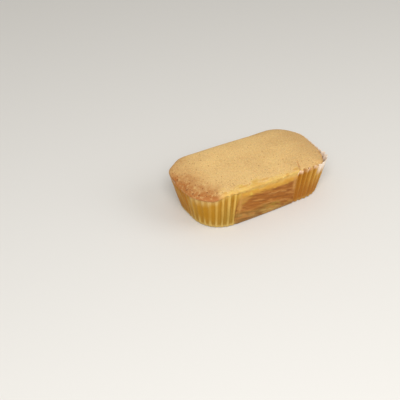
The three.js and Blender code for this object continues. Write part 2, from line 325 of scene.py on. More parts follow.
# Lengths in millimetres, colours from 0 to 255. Noises are tuples of (side, side, share, seed); a range of
# depth is below the edge, one of groove is in the pleat, and one of near is across towards the near side.
paperLook = {
    # sheet, flaps and loops
    "thickness": 0.22, "footRound": 1.2, "footRows": 5, "wallRows": 58, "innerRows": 16, "innerGather": 0.6,
    "tipSeed": 7, "tipSpread": 0.9, "tipFlutter": 0.5, "flutterTurns": (19, 11), "flutterSeed": 5,
    "flaps": ((0.45, 0.62, 1.0), (2.3, 0.42, 0.75), (3.7, 0.34, 0.6)), "flapRise": 0.7, "flapLean": 0.7,
    "flapDepth": (0.8, 4.0), "loopOpen": 0.2, "loopLean": 0.5, "freeDepth": 5.0,
    # small folds
    "crinkle": 0.16, "crinkleNoise": ((1.7, 6.5, 1.0, 11),), "crinkleLean": 2, "slant": 0.22,
    "panelCrinkle": 0.26, "panelNoise": ((7.5, 1.4, 1.0, 12), (3.6, 0.8, 0.6, 13)), "panelPuff": 0.35,
    "reliefFoot": (1.0, 4.0), "reliefDepth": (4.5, 2.0),
    # lines on the panels, each from one place and height to another
    "wrinkles": ((-17.0, 18.4, -6.0, 15.4), (-4.0, 19.6, 8.5, 18.4), (8.0, 17.8, 14.5, 15.6),
                 (-9.0, 11.8, 5.0, 10.0), (8.0, 9.6, 16.0, 7.2)),
    "scars": ((-22.0, 23.6, -10.0, 21.2), (-0.5, 22.4, 8.0, 20.8), (10.0, 22.0, 19.5, 20.0),
              (-17.0, 9.6, -5.0, 7.6), (-11.0, 14.8, -3.0, 13.2), (2.0, 14.2, 9.0, 12.4),
              (9.0, 6.6, 17.0, 4.8), (-26.0, 15.0, -20.0, 12.0)),
    "creams": ((-10.0, 5.6, -2.0, 4.4), (-3.0, 4.4, 8.0, 2.2), (-29.5, 8.4, -21.0, 6.6),
               (-20.0, 5.4, -13.0, 3.6), (4.0, 5.2, 17.0, 2.4), (-8.0, 2.4, 12.0, 0.8)),
    "wrinkleWidth": 0.55, "scarWidth": 0.75, "creamWidth": 1.0, "wrinkleHeight": 0.3, "scarDepth": 0.2,
    "lineNoise": ((2.2, 1.0, 0.9, 14),), "lineEnds": ((-0.15, 0.3), (0.7, 1.15)),
    # painted highlights along the panel's two end folds, each as place, width, share and heights
    "foldHighlights": ((-27.6, 1.3, 1.0, (9, 14)), (20.9, 1.5, 1.2, (10, 18))),
    # stains of the panels
    "wanderNoise": ((6.5, 2.6, 2.8, 21), (2.3, 1.1, 1.8, 22)),
    "patchNoise": ((6.5, 2.6, 1.0, 21), (2.3, 1.1, 0.6, 22)),
    "streakNoise": ((8.0, 1.5, 1.0, 25), (3.0, 0.9, 0.8, 26)),
    "lensTop": 23.4, "lensFall": 0.03, "lensTopSoft": 1.7,
    "lensLeft": -41.4, "lensLean": 1.0, "lensLeftSoft": 2.6, "lensWander": 1.4,
    "lensLow": 10.4, "lensDip": (5.4, 5.0, 16.0), "lensLowSoft": 1.9,
    "lowHeight": (8.0, 12.0), "lowLoss": (0.6, -10, 10),
    "oliveShare": 0.9, "oliveWander": 2, "oliveAlong": (3, 8.5), "oliveHeight": (7.4, 2.0),
    "creamShare": (0.55, 0.95), "creamAlong": (-14, -4),
    "patchRange": (-0.1, 0.35), "lemonShare": (0.3, 1.0), "lemonAlong": (6, 16),
    "streak": (0.7, 0.05, 0.6), "darkRight": (0.25, 4, 16), "scarShare": 0.7,
    "wrinkleShare": 0.8, "foldShare": 0.7, "soleHeight": (0.7, 0.4, 2.8),
    # bare paper
    "cornerWalk": ((3.9, 5.0), (8.0, 12.5)), "cornerDepth": (2.0, 11.0),
    "edgeWalk": ((7.0, 9.0), (19.0, 24.0)), "edgeDepth": (0.95, 0.8, 3.2),
    "leftAlong": (0.8, 0.95), "leftAcross": (-0.2, 0.2), "leftDepth": (0.25, 0.5, 4.0),
    "tipNear": (0.28, 0.45), "tipLip": (0.3, 0.8), "tipGroove": (0.05, 0.3), "tipHollow": 0.5,
    "tipDepth": (1.0, 9.0), "farTipAcross": ((0.35, 0.64), (0.66, 0.8)), "farTipDepth": (0.6, 3, 18),
    # painted shade in the pleat hollows, and stains of the pleats
    "cloudNoise": ((6, 9, 1.0, 27),), "shadeLossRight": (0.45, 2.0, 5.0), "shadeLossLast": (0.5, 0.25, 0.7),
    "lowFold": (1.6, 8, 20), "foldMean": 0.85, "foldSpread": 0.6,
    "orangeAlong": (0.2, 0.34), "orangeLoss": (0.6, 0.45, 0.7),
    "goldShare": 0.95, "goldTop": 23, "goldTopFar": (6, 0.3, 0.5), "goldFade": 8,
    "goldMean": 0.9, "goldCloud": 0.9, "goldNear": (0.2, 0.5),
    "goldFoot": (0, 14), "goldFootCloud": 6, "goldFootNear": (0.7, -0.1, 0.4),
    "ridgeLoss": (0.6, 0.7, 0.95), "ridgeGroove": (0.02, 0.2),
    "leftOlive": (0.65, 0, 26), "leftOliveAlong": (0.45, 0.55), "leftOliveLoss": 0.6, "leftOliveCloud": 12,
    "stainHeight": (0.85, 6, 22), "stainAlong": ((0.3, 0.4), (0.42, 0.58)),
    "stainWalk": ((-1.0, 0.0), (5.0, 9.0)),
    "meltAlong": (0.4, 0.46), "meltCloud": 5, "meltDepth": (0.8, 0.5, 6.5), "meltLoss": (0.6, 0.1, 0.6),
    "footShare": 0.8, "footStart": 0.8, "footTop": 4.0, "footRidge": (7.0, 0.03, 0.15),
    "footAlong": (0.4, 0.5), "footNear": (0.0, 0.5), "footRightLoss": 0.65,
    # last left fold, painted like the panel up to a slanted border
    "foldBorder": 0.7, "foldLean": (0.5, 8, 28), "foldSoft": (0.15, 0.05),
    "foldLine": 0.7, "foldLineWidth": 0.12, "foldLineHeight": ((2, 6), (18, 27)),
    # material
    "roughness": 0.55, "gloss": 0.12, "uprightGrain": (420, (1, 1, 0.16), 0.2),
    "levelGrain": (420, (0.2, 0.5, 1.3), 0.3), "soilRange": (0.4, 0.4, 0.75),
    "hollowShadeRange": (0.85, 0.02, 0.7),
    "sheen": (255, 236, 190), "sheenWeight": 0.03, "sheenRoughness": 0.35,
    # the ridge colours are the paper's own; the two hollow colours after them are painted shade in the pleats
    "ridge": (216, 174, 88), "groove": (166, 116, 28),
    "ridgeRight": (182, 126, 42), "hollowShadeRight": (168, 110, 30),
    # colours laid over each other by their marks, in this order
    "layers": (
        ("gold", (178, 113, 10)), ("honey", (178, 123, 18)), ("panel", (178, 132, 56)),
        ("low", (142, 102, 48)), ("olive", (150, 118, 42)), ("cream", (184, 146, 80)),
        ("band", (198, 144, 58)), ("lemon", (208, 172, 74)), ("lens", (157, 97, 38)),
        ("dark", (136, 80, 28)), ("light", (182, 124, 62)), ("scar", (134, 80, 26)),
        ("pale", (190, 138, 74)), ("stain", (160, 100, 34)), ("foot", (206, 176, 102)),
        ("sole", (150, 112, 66)), ("fringe", (214, 172, 96)), ("tip", (214, 176, 106)),
        # flap and free are the bare paper's own pale colour made lighter still: a painted highlight on the
        # flaps, and painted light in the shaded loops and pockets of the bare edge
        ("flap", (250, 220, 190)), ("free", (236, 221, 205)),
    ),
}


# Bells across the lines of one kind, faded at their ends and moved by noise along them
def lineMark(look, kind, along, height):
    mark = np.zeros_like(height)
    for startX, startHeight, endX, endHeight in look[kind + "s"]:
        share = (along - startX) / (endX - startX)
        line = blend(startHeight, endHeight, share) + noises(along, 0 * along, look["lineNoise"])
        mark = np.maximum(mark, plateau(share, *look["lineEnds"]) * bell(height, line, look[kind + "Width"]))
    return mark


# Small folds of the sheet, outwards positive: upright ones in the pleats, long slanting ones on the panels
def paperRelief(look, x, y, panelX, height):
    upright = noises(x + look["crinkleLean"] * y, height, look["crinkleNoise"])
    level = noises(panelX, height + look["slant"] * panelX, look["panelNoise"])
    level = look["panelPuff"] + look["panelCrinkle"] * level
    level = level + look["wrinkleHeight"] * lineMark(look, "wrinkle", panelX, height)
    level = level - look["scarDepth"] * lineMark(look, "scar", panelX, height)
    return look["crinkle"] * upright + (1 - ribs["pleated"]) * level


# Stains of a panel, by the place along it and the height: a brown lens with a slanted left end under a golden
# band, dark and light streaks in it, a strip with an olive patch along the foot, pale wrinkle lines and a
# painted highlight along the end folds; noise moves every border
def panelMarks(look, along, height):
    slanted = height + look["slant"] * along
    wander = noises(along, slanted, look["wanderNoise"])
    streak = noises(along, slanted, look["streakNoise"])
    patches = ease(noises(along, slanted, look["patchNoise"]), *look["patchRange"])
    level = height + wander
    top = look["lensTop"] - look["lensFall"] * along
    left = look["lensLeft"] + look["lensLean"] * height
    low = look["lensLow"] - grown(along, *look["lensDip"])
    underTop = 1 - past(level, top, look["lensTopSoft"])
    rightOf = past(along + look["lensWander"] * wander, left, look["lensLeftSoft"])
    overLow = past(level, low, look["lensLowSoft"])
    olive = bell(along + look["oliveWander"] * wander, *look["oliveAlong"])
    olive = olive * bell(level, *look["oliveHeight"])
    pale = look["wrinkleShare"] * lineMark(look, "wrinkle", along, height)
    # painted highlight along the panel's end folds, added to the pale wrinkle lines
    for place, width, share, heights in look["foldHighlights"]:
        pale = pale + look["foldShare"] * share * bell(along, place, width) * ease(height, *heights)
    creamShare = blend(*look["creamShare"], ease(along, *look["creamAlong"]))
    lemonShare = blend(*look["lemonShare"], ease(-along, *look["lemonAlong"]))
    return {
        "panel": 1.0,
        "low": fade(level, *look["lowHeight"]) * (1 - grown(along, *look["lowLoss"])),
        "olive": look["oliveShare"] * olive,
        "cream": creamShare * lineMark(look, "cream", along, height),
        "band": 1 - underTop,
        "lemon": (1 - underTop) * patches * lemonShare,
        "lens": rightOf * underTop * overLow,
        "dark": (grown(streak, *look["streak"]) + grown(along, *look["darkRight"])) * underTop,
        "light": grown(-streak, *look["streak"]) * underTop,
        "scar": look["scarShare"] * lineMark(look, "scar", along, height),
        "pale": np.clip(pale, 0, 1),
        "sole": faded(level, *look["soleHeight"]),
    }


# Flaps of the edge beside the near panel: bells along the right end, each with its place, width and share
def flapMark(look):
    return sum(share * bell(ribs["rightWalk"], place, width) for place, width, share in look["flaps"])


# Where the sheet is bare, by the depth below its edge: thin along the far right and far left edges, deep at
# the near right corner, and in soft tips on the ridges under the lip
def bareMarks(look, below, vary):
    walk, across = ribs["rightWalk"], ribs["across"]
    leftEnd = ease(-ribs["along"], *look["leftAlong"])
    corner = plateau(walk, *look["cornerWalk"]) * fade(below, *look["cornerDepth"])
    rightEdge = plateau(walk, *look["edgeWalk"]) * faded(below, *look["edgeDepth"])
    leftEdge = leftEnd * ease(across, *look["leftAcross"]) * faded(below, *look["leftDepth"])
    onRidge = fade(grooves, *look["tipGroove"])
    tip = ease(-across, *look["tipNear"]) * ease(ribs["lip"], *look["tipLip"])
    tip = tip * blend(look["tipHollow"], 1.0, onRidge) * fade(below * (1 + vary), *look["tipDepth"])
    farTip = leftEnd * plateau(across, *look["farTipAcross"]) * faded(below, *look["farTipDepth"])
    return {
        # bare paper, lightened further with painted light in the shaded pockets and a painted highlight on
        # the flaps
        "free": np.maximum(np.maximum(corner, rightEdge), leftEdge),
        "tip": np.maximum(tip, farTip),
        "flap": flapMark(look) * fade(below, *look["flapDepth"]),
    }


# Painted shade in the pleat hollows, and stains of the pleats: gold on the left end and honey on its near
# side, olive and pale feet at the near left, brown low on the right end, and melted crumb under the roll;
# noise clouds the borders
def pleatMarks(look, x, y, height, below, lastLeft, vary):
    along, near, walk = ribs["along"], -ribs["across"], ribs["rightWalk"]
    onPleats = np.where(ribs["pleat"] < 0, 0.0, 1.0)
    cloud = noises(x + y, height, look["cloudNoise"])
    # some folds get less painted shade: past the third on the right, and on the panel's side of the last left
    # one
    lessShade = np.maximum(grown(walk, *look["shadeLossRight"]), faded(lastLeft, *look["shadeLossLast"]))
    lowFold = 1 + ribs["leftPress"] * faded(height, *look["lowFold"])
    # painted shade in the pleat hollows, deeper low on the pressed left folds and varied from fold to fold
    hollow = grooves * lowFold * (1 - lessShade) * (look["foldMean"] + look["foldSpread"] * vary)
    orange = ease(along, *look["orangeAlong"])
    overFoot = ease(height + look["goldFootCloud"] * cloud, *look["goldFoot"])
    overFoot = overFoot * (1 - grown(near, *look["ridgeLoss"]) * fade(grooves, *look["ridgeGroove"]))
    overFoot = blend(1.0, overFoot, grown(near, *look["goldFootNear"]))
    goldTop = look["goldTop"] + faded(near, *look["goldTopFar"])
    golden = look["goldShare"] * ribs["leftPress"] * fade(height, goldTop, goldTop + look["goldFade"])
    golden = golden * overFoot * np.clip(look["goldMean"] + look["goldCloud"] * cloud, 0, 1)
    olive = ease(-along, *look["leftOliveAlong"]) * (1 - look["leftOliveLoss"] * ribs["leftPress"])
    stain = np.maximum(plateau(along, *look["stainAlong"]) * onPleats, plateau(walk, *look["stainWalk"]))
    melted = ease(-along, *look["meltAlong"]) * (1 - ribs["lip"]) * ribs["roll"] * onPleats
    melted = melted * faded(below + look["meltCloud"] * cloud, *look["meltDepth"])
    nearLeft = ease(-along, *look["footAlong"]) * ease(near, *look["footNear"])
    paleRidge = faded(grooves, *look["footRidge"]) * nearLeft
    foot = fade(height, look["footStart"], look["footTop"] + paleRidge) * ribs["pleated"]
    return {
        "groove": np.clip(hollow, 0, 1),
        "orange": orange * (1 - grown(along, *look["orangeLoss"])),
        "gold": golden * fade(near, *look["goldNear"]),
        "honey": golden * ease(near, *look["goldNear"]),
        "olive": olive * faded(height + look["leftOliveCloud"] * cloud, *look["leftOlive"]),
        "stain": stain * faded(height, *look["stainHeight"]),
        "lemon": melted * (1 - grown(grooves, *look["meltLoss"])),
        "foot": look["footShare"] * foot * (1 - look["footRightLoss"] * orange),
    }


# All marks of the paper: a panel's stains on the panels and on the last left fold up to a slanted border
# with a dark line along it, and the other marks added to them
def paperMarks(form, look, rings, panelX, below, vary):
    x, y, height = rings[..., 0], rings[..., 1], rings[..., 2]
    onLeft = (ribs["leftWalk"] >= 0) & (ribs["across"] < 0)
    lastLeft = np.where(onLeft, form["pleatsLeft"] - ribs["leftWalk"], -offEnd)
    border = look["foldBorder"] - grown(height, *look["foldLean"])
    foldShare = fade(lastLeft, border - look["foldSoft"][0], border + look["foldSoft"][1])
    panelShare = np.where(ribs["pleat"] < 0, 1.0, foldShare)
    marks = {name: panelShare * mark for name, mark in panelMarks(look, panelX, height).items()}
    foldLine = bell(lastLeft, border, look["foldLineWidth"]) * plateau(height, *look["foldLineHeight"])
    marks["dark"] = marks["dark"] + look["foldLine"] * foldLine
    for name, mark in pleatMarks(look, x, y, height, below, lastLeft, vary).items():
        marks[name] = marks.get(name, 0) + mark
    marks.update(bareMarks(look, below, vary))
    marks["fringe"] = ribs["roll"] * (1 - ribs["lip"]) * crustShare(borderLook, panelX, height)
    return marks


# The folded sheet: floor, rounded foot, outer wall, thin edge, inner wall and inner floor
def buildPaper(form, look):
    count = form["pleatsLeft"] + form["pleatsRight"] + 2  # the panels' two halves have a number too
    tipHeights = np.random.default_rng(look["tipSeed"]).random(count) - 0.5
    ownNumber = (ribs["pleat"] + np.where(ribs["along"] > 0, form["pleatsLeft"] + 1, 0)).astype(int)
    vary = tipHeights[ownNumber]
    flaps = flapMark(look)
    rim = ribs["ridge"] - form["rimScallop"] * grooves + look["flapRise"] * flaps
    rim = rim + look["tipSpread"] * vary * ribs["right"] * np.sin(math.pi * ribs["phase"]) ** 2
    turnsAlong, turnsAcross = look["flutterTurns"]
    flutter = latticeNoise(ribs["along"] * turnsAlong, ribs["across"] * turnsAcross, look["flutterSeed"])
    lean = look["tipFlutter"] * ribs["right"] * flutter + look["flapLean"] * flaps
    lean = lean + look["loopLean"] * ribs["loops"]
    panelShift = np.where(ribs["across"] < 0, 0.0, form["panelRight"] - form["panelLeft"])
    reliefTop, reliefEnd = look["reliefDepth"]

    # one side of the sheet: the wall with small folds that fade out at foot and edge, and a leaning edge
    def side(inset, height, extra):
        flat = wallPoints(form, ribs, height, inset + extra, grooves)
        relief = paperRelief(look, flat[..., 0], flat[..., 1], nearSign * flat[..., 0] + panelShift, height)
        relief = relief * ease(height, *look["reliefFoot"]) * fade(height, rim - reliefTop, rim - reliefEnd)
        freed = ease(height, rim - look["freeDepth"], rim)
        opened = grooves * (1 + look["loopOpen"] * ribs["loops"] * freed)
        return wallPoints(form, ribs, height, inset + extra - relief - lean * freed, opened)

    thickness = look["thickness"]
    footHeight, footInset = footArc(look, rim)
    share = np.linspace(0, 1, look["wallRows"] + 1)[1:, None]
    wallHeight = blend(look["footRound"], rim, share)
    outer = np.concatenate((side(0, footHeight, footInset), side(0, wallHeight, 0 * wallHeight)))
    innerShare = np.linspace(1, 0, look["innerRows"] + 1)[:, None] ** look["innerGather"]
    innerHeight = blend(look["footRound"] + thickness, rim, innerShare)
    inner = side(thickness, innerHeight, 0 * innerHeight)
    floor = side(thickness, footHeight[::-1] + thickness, footInset[::-1])[1:]
    edge = (outer[-1:] + inner[:1]) / 2 + (0, 0, thickness / 3)
    rings = np.concatenate((outer, edge, inner, floor))
    marks = paperMarks(form, look, rings, nearSign * rings[..., 0] + panelShift, rim - rings[..., 2], vary)
    return ringSkin("pleatedPaper", rings, [(0, 0, 0), (0, 0, thickness)], marks, len(outer))


paperPiece = buildPaper(caseForm, paperLook)
print("paper case:", len(paperPiece.data.polygons), "faces")

# Lengths in millimetres, colours from 0 to 255; noises are tuples of (side, side, share, seed)
cakeLook = {
    # wall and edge
    "inset": 0.32, "footRound": 1.2, "footRows": 4, "wallRows": 8, "edgeClear": 0.3, "edgeHeight": 0.15,
    "loopClear": 0.88, "cornerClear": 2.5, "cornerWalk": (7.2, 1.1), "topDepth": (6, 1),
    # roll and lip: shares of the way out, of the hang and of the rise for each row
    "edgeOut": (0, 0.55, 0.57, 0.6, 0.66, 0.76, 0.88, 0.96, 1),
    "edgeDrop": (0, 0, 0.6, 0.92, 1, 0.9, 0.5, 0.15, 0),
    "edgeUp": (0.08, 0.09, 0.1, 0.11, 0.13, 0.2, 0.36, 0.66, 1),
    "lipHeight": 1.1, "lipOverhang": 1.3, "lipSwell": 0.3, "rollOverhang": 0.28, "rollSwell": 0.02,
    "raiseFull": 0.5, "outStart": 0.6,
    "rollBridge": (0.25, 0.8), "bridgePleats": (0.6, 1.6), "bridgeOut": (0, 0.4),
    "crestWander": 1.0, "crestMean": 0.8, "crestNoise": ((6.1, 1.0, 1.0, 54), (2.3, 1.0, 0.6, 55)),
    "hangMean": 1.2, "hangSpread": 2.8, "hangRange": (0.5, 2.0), "hangPleated": (0.25, 1.6),
    "hangNoise": ((4.3, 1.0, 1.0, 51), (1.5, 1.0, 0.6, 52)),
    "edgePebble": 0.5, "edgeNoise": ((2.1, 1.7, 1.0, 53),),
    "edgePebbleOut": (0.55, 0.9), "edgePebbleEnd": (0, 0.06),
    # dome and crust
    "domeRows": 76, "domeGather": 1.5, "spineRows": 6, "domePower": 2.6, "rollPower": 9.0,
    "fluteFade": 0.3, "meanGroove": 0.5, "swell": 0.25, "swellX": 17.0, "swellY": 12.0,
    "pebble": 0.16, "pebbleNoise": ((1.7, 1.7, 1.0, 31), (0.8, 0.8, 0.7, 32)),
    "lumpEdge": (0.5, 2, 9), "lumpNoise": ((4.6, 3.2, 1.0, 46),),
    "creaseDepth": 0.5, "creaseWidth": 0.5, "creaseX": 25.4, "creaseLean": 0.46, "creaseReach": (15.0, 25.0),
    # creaseShadeShare is the share of painted shade along the crease's dent
    "creaseNoise": ((3.0, 1.0, 0.8, 33),), "creaseShadeShare": 0.8,
    # pits, dented and with painted shade: limits and power of their spread, and larger ones as (x, y, radius)
    "poreCount": 620, "poreSeed": 17, "poreX": (-60, 52, 2.4), "poreY": (-29, 29, 1.3),
    "poreRadius": (0.16, 0.5, 2.5), "poreDepth": 0.24, "poreCut": 5, "poreEdge": (0.4, 1.5),
    "spots": ((-59.4, 5.6, 0.8), (-59.8, -8.8, 0.95), (-58.4, -15.2, 0.9), (-55.8, -19.2, 0.75),
              (-49.6, -20.4, 0.7), (-44.2, -24.8, 0.65), (-52.4, -8.7, 0.6), (-31.7, 7.1, 0.6)),
    # browning, yolk and tone; edge ranges are distances from the crust's edge
    "brownLeft": (31, 50), "brownNear": (10, 20, 28), "brownFar": (0.6, -4, 18),
    "brownNoise": ((4.2, 4.2, 1.0, 41), (1.6, 1.6, 0.3, 43)), "beltWander": 8, "beltWidth": 12,
    "beltShare": 1.15, "brownBase": 0.12, "traceWander": 3, "traceEdge": (0.16, 0, 4),
    "yolkShare": 0.9, "yolkNoise": ((5, 3, 9, 44), (1.8, 1.8, 3, 45)), "yolkEdge": (-0.5, 6.0),
    "yolkRight": (0.65, -8, 12), "yolkRim": (0.1, 1.4),
    "stainNoise": ((4.4, 2.6, 1.0, 47),), "stainRange": (0.6, 0.08, 0.4), "stainEdge": (2.5, 7.0),
    "bayX": (-13, 8), "bayEdge": (0.5, 0.5, 4.5), "goldenEdge": (0.5, 3.0),
    "toneMean": 0.35, "toneNoise": ((15, 10, 1.2, 42),), "toneRight": (0.8, 5, 45),
    "toneFar": (0.35, 2, 20), "toneFarX": (10, 40), "toneEnd": (0.8, 36, 54),
    "lipShadeHeight": 1.3, "lipShadeEdge": (0, 2.5),
    # material
    "roughness": 0.62, "gloss": 0.25,
    "coarseGrain": (420, (1, 1, 1), 0.05), "fineGrain": (1100, (1, 1, 1), 0.4),
    "toneShare": 0.37, "grainRange": (0.56, 0.35, 0.65), "speckRange": (0.45, 0.58, 0.74),
    "patchRange": (0.8, 0.25, 0.62), "patchBase": 0.38, "poreShadeRange": (1.0, 0.15, 0.9),
    "scatter": 0.08, "scatterRadius": (1.0, 0.5, 0.2), "scatterScale": 0.002,
    "pale": (232, 194, 128), "tan": (196, 157, 101),
    # colours laid over each other by their marks, in this order; lipShade, crease and pore paint shade under
    # the lip, along the crease and into the pits
    "layers": (("speck", (186, 138, 80)), ("yolk", (222, 186, 100)), ("golden", (198, 144, 58)),
               ("brown", (172, 110, 54)), ("lipShade", (160, 96, 42)), ("crease", (186, 132, 78)),
               ("poreShade", (140, 84, 40))),
}


# Nearness to the crease: a bell across a slanted, wandering line, which ends short of the middle
def creaseMark(look, x, y):
    line = look["creaseX"] + look["creaseLean"] * (y + caseForm["rimHalfWidth"])
    line = line + noises(y, 0 * y, look["creaseNoise"])
    return bell(x, line, look["creaseWidth"]) * ease(-y, *look["creaseReach"])


# Crust heights over a plan: slow sine swells, fine lattice noise and a pinched crease by the near edge
def crustRelief(look, x, y):
    swell = look["swell"] * np.sin(x / look["swellX"]) * np.cos(y / look["swellY"])
    pebble = noises(x, y, look["pebbleNoise"])
    return swell - look["creaseDepth"] * creaseMark(look, x, y) + look["pebble"] * pebble


# Browning from 0 to 1: a mottled belt along the edge of the left end and the lip, and a trace round the rest
def browning(look, x, y, fromEdge):
    start, full = look["brownLeft"]
    leftness = ease(-x, start + grown(-y, *look["brownNear"]), full)
    leftness = leftness * (1 - grown(y, *look["brownFar"]))
    mottle = noises(x, y, look["brownNoise"])
    belt = np.exp(-np.maximum(fromEdge + look["beltWander"] * mottle, 0) / look["beltWidth"])
    trace = faded(fromEdge + look["traceWander"] * mottle, *look["traceEdge"])
    return np.clip(leftness * (look["brownBase"] + look["beltShare"] * belt) + trace, 0, 1)


# Small round pits: a bell round each seeded place, most of them at the left end, and round each larger spot;
# it dents the crust and paints shade into the pits
def poreField(look, x, y):
    dice = np.random.default_rng(look["poreSeed"])
    columns = []
    for low, high, power in (look["poreX"], look["poreY"], look["poreRadius"]):
        columns.append(blend(low, high, dice.random(look["poreCount"]) ** power))
    field = np.zeros_like(x)
    for centreX, centreY, size in np.concatenate((np.column_stack(columns), look["spots"])):
        close = np.abs(x - centreX) + np.abs(y - centreY) < look["poreCut"] * size
        away = ((x[close] - centreX) ** 2 + (y[close] - centreY) ** 2) / size ** 2
        field[close] = np.maximum(field[close], np.exp(-away))
    return field


# Marks of the crust by place, height and distance from its edge: browning, yolk and gold on the roll, a tone
# that darkens to the right, painted shade along the crease and the shade under the lip
def crustMarks(look, x, y, height, fromEdge, rolled):
    nearX = nearSign * x
    yolkEdge = fromEdge + noises(x, y, look["yolkNoise"])
    yolk = fade(yolkEdge, *look["yolkEdge"]) * (1 - grown(nearX, *look["yolkRight"]))
    stain = grown(noises(nearX, y, look["stainNoise"]), *look["stainRange"])
    stain = stain * fade(fromEdge, *look["stainEdge"])
    bay = bell(nearX, *look["bayX"]) * faded(yolkEdge, *look["bayEdge"])
    golden = fade(fromEdge, *look["goldenEdge"]) * (1 - crustShare(borderLook, nearX, height))
    tone = look["toneMean"] + noises(x, y, look["toneNoise"]) + grown(x, *look["toneRight"])
    tone = tone - grown(y, *look["toneFar"]) * fade(x, *look["toneFarX"])
    underLip = fade(height, ribs["ridge"], ribs["ridge"] + look["lipShadeHeight"])
    return {
        "browned": browning(look, x, y, fromEdge),
        "yolk": rolled * look["yolkShare"] * np.maximum(yolk, fade(fromEdge, *look["yolkRim"])),
        "golden": rolled * np.maximum(np.maximum(stain, bay), golden),
        "tone": np.clip(tone, 0, 1) + grown(x, *look["toneEnd"]),
        # painted shade along the crease
        "crease": look["creaseShadeShare"] * creaseMark(look, x, y),
        "lipShade": ribs["lip"] * underLip * fade(fromEdge, *look["lipShadeEdge"]),
    }


# The cake: inside the paper's folds up to its shoulder, out over the paper's edge and down it in a thin roll
# or a soft lip where it spills, then up a flat dome to a level spine. The dome rises by
# sqrt(1 - (1 - inward)^power) of its height.
def buildCake(form, look):
    inset, lip, rimX = look["inset"], ribs["lip"], ribs["rim"][:, 0]
    rolled = ribs["roll"] * (1 - lip)
    spill = np.maximum(lip, ribs["roll"])
    raised, out = ease(spill, 0, look["raiseFull"]), ease(spill, look["outStart"], 1)
    crustHeight = blend(look["edgeHeight"], look["lipHeight"], lip)
    overhang = inset + blend(look["rollOverhang"], look["lipOverhang"], lip)
    swell = blend(look["rollSwell"], look["lipSwell"], lip)
    bridge = blend(blend(*look["rollBridge"], fade(ribs["fromPanel"], *look["bridgePleats"])), 1, lip)
    # the shoulder follows the paper's edge, and its crest wanders along the panel
    shoulder = ribs["ridge"] + blend(-ribs["stand"] - crustHeight, look["edgeClear"], raised)
    crest = look["crestMean"] + noises(rimX, ribs["across"], look["crestNoise"])
    shoulder = shoulder + look["crestWander"] * crest * rolled * (1 - ribs["pleated"])
    # the paper's loops and the corner beside them stand clear of the crust
    deepest = 1 + form["depthSpread"]
    topInset = inset + look["cornerClear"] * bell(ribs["rightWalk"], *look["cornerWalk"])
    topGrooves = blend(grooves, look["loopClear"] * deepest, ribs["loops"])
    smoothGroove = ribs["pleated"] * blend(look["meanGroove"], deepest, ribs["right"]) * ribs["pressed"]
    smoothGroove = np.maximum(smoothGroove, topGrooves * ribs["loops"])
    # how far the roll hangs, ragged on the panel and only a little on the pleats
    ragged = noises(rimX, ribs["across"], look["hangNoise"])
    below = np.clip(look["hangMean"] + look["hangSpread"] * ragged, *look["hangRange"])
    least, more = look["hangPleated"]
    below = blend(below, least + more * np.maximum(ragged, 0), ribs["pleated"])
    hang = (below + shoulder - ribs["ridge"]) * (1 - lip) * out

    footHeight, footInset = footArc(look, shoulder)
    foot = wallPoints(form, ribs, inset + footHeight, inset + footInset, grooves)
    share = np.linspace(0, 1, look["wallRows"] + 1)[1:, None]
    wallHeight = blend(inset + look["footRound"], shoulder, share)
    nearTop = ease(wallHeight, shoulder - look["topDepth"][0], shoulder - look["topDepth"][1])
    wallInset, wallGrooves = blend(inset, topInset, nearTop), blend(grooves, topGrooves, nearTop)
    wall = wallPoints(form, ribs, wallHeight, wallInset, wallGrooves)

    edgeRows = (np.array(look[name])[:, None] for name in ("edgeOut", "edgeDrop", "edgeUp"))
    outShare, dropShare, upShare = edgeRows
    edgeHeight = shoulder + crustHeight * upShare - dropShare * hang
    bumps = noises(rimX, edgeHeight, look["edgeNoise"]) * ease(outShare, *look["edgePebbleOut"])
    bumps = look["edgePebble"] * bumps
    bridged = ease(outShare, *look["bridgeOut"]) * bridge * grooves * form["rimPleatDepth"]
    reach = (outShare * overhang + upShare * swell + bumps + bridged) * out
    edge = wallPoints(form, ribs, edgeHeight, topInset - reach, topGrooves)

    inward = np.linspace(0, 1, look["domeRows"] + 1)[1:, None] ** look["domeGather"]
    lift = np.sqrt(1 - (1 - inward) ** blend(look["domePower"], look["rollPower"], rolled))
    endBumps = bumps[-1] * fade(inward, *look["edgePebbleEnd"])
    startGroove = blend(topGrooves, smoothGroove, ease(lift, 0, look["fluteFade"]))
    reach = (overhang + swell + endBumps + bridge * startGroove * form["rimPleatDepth"]) * out
    start = wallPoints(form, ribs, shoulder + crustHeight + 0 * lift, topInset - reach, startGroove)
    toSpine = np.linspace(1, 0, look["spineRows"] + 1)[1:, None]
    spine = np.stack((ribs["crown"][:, 0] + 0 * toSpine, ribs["crown"][:, 1] * toSpine), -1)
    plan = np.concatenate((blend(start[..., :2], ribs["crown"], inward[..., None]), spine))
    lift = np.concatenate((lift, 1 + 0 * toSpine * rolled))
    low = np.concatenate((start[..., 2], 0 * toSpine + start[-1:, :, 2]))
    x, y = plan[..., 0], plan[..., 1]
    top = blend(form["topLeft"], form["topRight"], (x / form["rimReach"] + 1) / 2)
    fromEdge = np.linalg.norm(plan - start[:1, :, :2], axis=-1)
    pores = poreField(look, x, y) * ease(fromEdge, *look["poreEdge"])
    lumps = rolled * faded(fromEdge, *look["lumpEdge"]) * noises(x, y, look["lumpNoise"])
    height = blend(low, top, lift) + lift * (crustRelief(look, x, y) + lumps) - look["poreDepth"] * pores
    dome = np.concatenate((plan, height[..., None]), -1)

    rings = np.concatenate((foot, wall, edge, dome))
    under = np.zeros((len(rings) - len(dome), len(rimX)))
    fromEdge = np.concatenate((under, fromEdge))
    marks = crustMarks(look, rings[..., 0], rings[..., 1], rings[..., 2], fromEdge, rolled)
